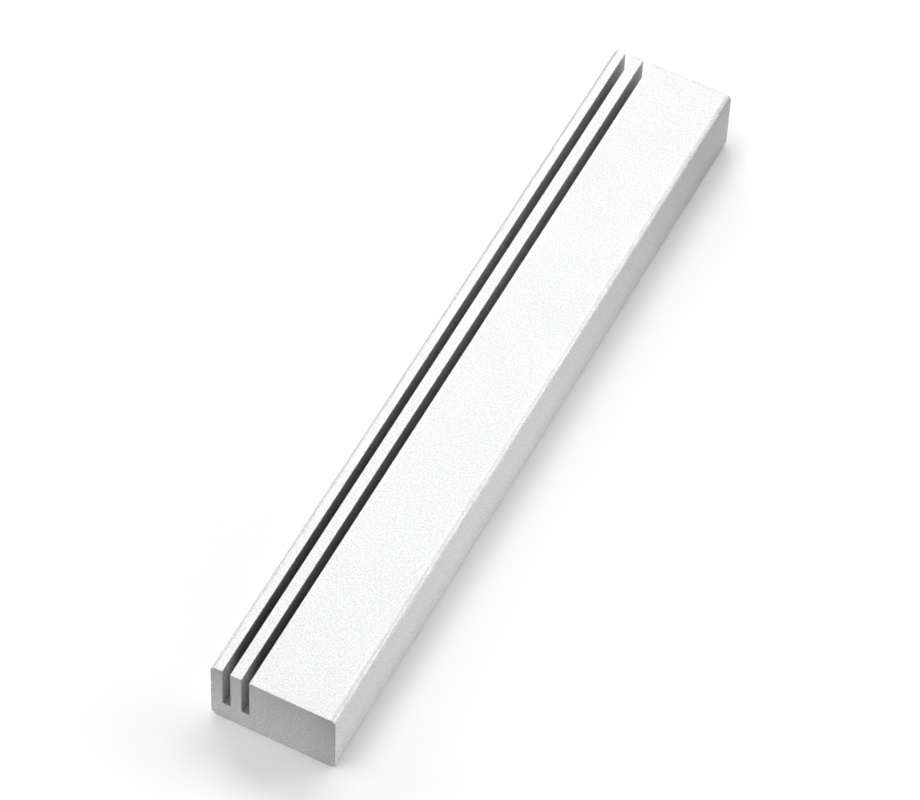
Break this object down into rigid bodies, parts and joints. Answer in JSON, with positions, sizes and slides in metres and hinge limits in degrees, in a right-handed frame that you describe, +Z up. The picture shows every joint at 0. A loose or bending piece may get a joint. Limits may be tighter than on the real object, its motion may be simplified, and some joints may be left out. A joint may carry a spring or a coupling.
{
  "type": "sanding stick",
  "caption": "Rectangular metal sanding stick with rounded long edges and narrow full-length slots in its top face that grip the edges of a wrapped abrasive sheet.",
  "frame": {"origin": "centre of the bottom face, which is the face the bar rests on", "axes": "+Y along the bar's length, +X across the bar away from the slots, +Z up out of the slotted top face"},
  "size_m": [0.02, 0.129, 0.012],
  "materials": {
    "blasted_aluminium": "fine bead blasted and clear anodised, pale silver white, with sawn walls inside the slots"
  },
  "bodies": {
    "root": {"sanding_bar": "blasted_aluminium"}
  },
  "joints": []
}
